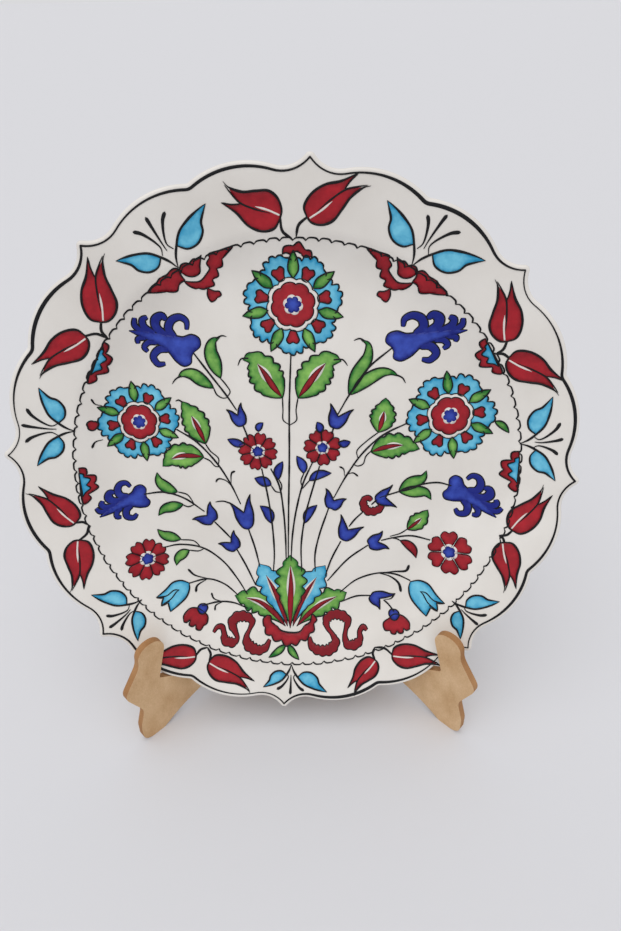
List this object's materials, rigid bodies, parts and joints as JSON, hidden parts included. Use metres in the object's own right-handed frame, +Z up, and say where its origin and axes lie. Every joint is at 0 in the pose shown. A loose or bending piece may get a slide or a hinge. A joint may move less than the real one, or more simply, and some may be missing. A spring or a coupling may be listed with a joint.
{
  "type": "decorative plate on folding stand",
  "caption": "Scalloped, hand painted glazed plate resting in a folding stand made of two hinged boards with fingers that hold its rim.",
  "frame": {"origin": "on the table, below the middle of the whole object's box", "axes": "+Z up from the table, the plate faces -Y and leans back towards +Y, +X to the viewer's right"},
  "size_m": [0.2992, 0.1118, 0.3036],
  "materials": {
    "glazed_earthenware": "glossy clear glaze over a white body painted in red, cobalt, turquoise, green and black",
    "raw_mdf": "raw medium-density fibreboard, unsealed, with lighter machined edges",
    "brass": "satin, rolled sheet and turned wire"
  },
  "bodies": {
    "hinge_pins": {"lower_hinge_pin": "brass", "upper_hinge_pin": "brass"},
    "left_side": {"left_board": "raw_mdf", "lower_hinge_left_leaf": "brass", "upper_hinge_left_leaf": "brass", "left_hinge_screws": "brass"},
    "right_side": {"right_board": "raw_mdf", "lower_hinge_right_leaf": "brass", "upper_hinge_right_leaf": "brass", "right_hinge_screws": "brass"},
    "plate": {"plate": "glazed_earthenware"}
  },
  "joints": [
    {"name": "plate_lift", "type": "slide", "parent": "hinge_pins", "child": "plate", "axis": [0, 0, 1], "range_m": [0, 0.2]},
    {"name": "left_fold", "type": "hinge", "parent": "hinge_pins", "child": "left_side", "pos_m": [0, 0.03471, 0.05], "axis": [0, 0, 1], "range_deg": [0, 46]},
    {"name": "right_fold", "type": "hinge", "parent": "hinge_pins", "child": "right_side", "pos_m": [0, 0.03471, 0.05], "axis": [0, 0, -1], "range_deg": [0, 46]}
  ],
  "couplings": [
    {"joint": "left_fold", "follows": "plate_lift", "rad_per_m": 4.014},
    {"joint": "right_fold", "follows": "plate_lift", "rad_per_m": 4.014}
  ]
}
